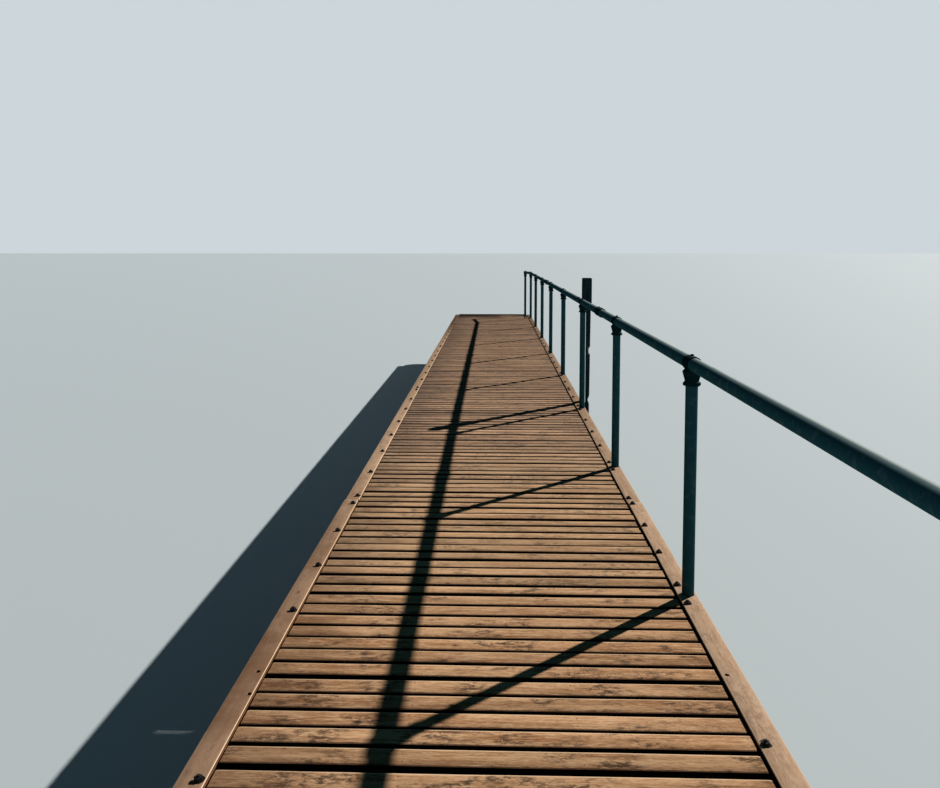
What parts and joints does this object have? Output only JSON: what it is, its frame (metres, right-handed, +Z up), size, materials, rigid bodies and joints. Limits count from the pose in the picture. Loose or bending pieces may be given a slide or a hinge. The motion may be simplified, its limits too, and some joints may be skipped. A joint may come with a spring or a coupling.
{
  "type": "timber jetty",
  "caption": "Straight timber jetty on pile bents with crosswise deck boards, edge kerbs, a tube handrail along one side and a mooring post.",
  "frame": {"origin": "midway along the jetty and midway between the crosshead ends, at the foot of the piles, which is the water's surface", "axes": "+Z up, +Y along the jetty from the shore end to the far end, +X towards the handrail"},
  "size_m": [2.016, 18.05, 2.375],
  "materials": {
    "deck_board": "weathered, dry, with open grain",
    "kerb_timber": "weathered, dry, a little paler than the boards",
    "frame_timber": "weathered, damp and darker under the deck",
    "pile_timber": "damp, dark and stained at the water",
    "mooring_timber": "old, tarred and worn",
    "rail_paint": "dark blue-green paint, half gloss, worn on top",
    "cast_paint": "dark blue-green paint over a rough casting",
    "cleat_iron": "dull, with some rust"
  },
  "bodies": {
    "root": {"piles_left": "pile_timber", "piles_right": "pile_timber", "crosshead_01": "frame_timber", "crosshead_02": "frame_timber", "crosshead_03": "frame_timber", "crosshead_04": "frame_timber", "crosshead_05": "frame_timber", "crosshead_06": "frame_timber", "crosshead_07": "frame_timber", "crosshead_08": "frame_timber", "crosshead_09": "frame_timber", "crosshead_10": "frame_timber", "stringers_shore": "frame_timber", "stringers_middle": "frame_timber", "stringers_far": "frame_timber", "deck_bay_1": "deck_board", "deck_bay_2": "deck_board", "deck_bay_3": "deck_board", "deck_bay_4": "deck_board", "deck_bay_5": "deck_board", "deck_bay_6": "deck_board", "deck_bay_7": "deck_board", "deck_bay_8": "deck_board", "deck_end": "deck_board", "kerb_left": "kerb_timber", "kerb_right": "kerb_timber", "kerb_end": "kerb_timber", "post_packers": "frame_timber", "rail_post_01": "rail_paint", "rail_post_02": "rail_paint", "rail_post_03": "rail_paint", "rail_post_04": "rail_paint", "rail_post_05": "rail_paint", "rail_post_06": "rail_paint", "rail_post_07": "rail_paint", "rail_post_08": "rail_paint", "rail_post_09": "rail_paint", "rail_post_10": "rail_paint", "rail_shore": "rail_paint", "rail_middle": "rail_paint", "rail_far": "rail_paint", "rail_end": "rail_paint", "rail_fittings": "cast_paint", "mooring_post": "mooring_timber", "mooring_cleat": "cleat_iron"}
  },
  "joints": []
}
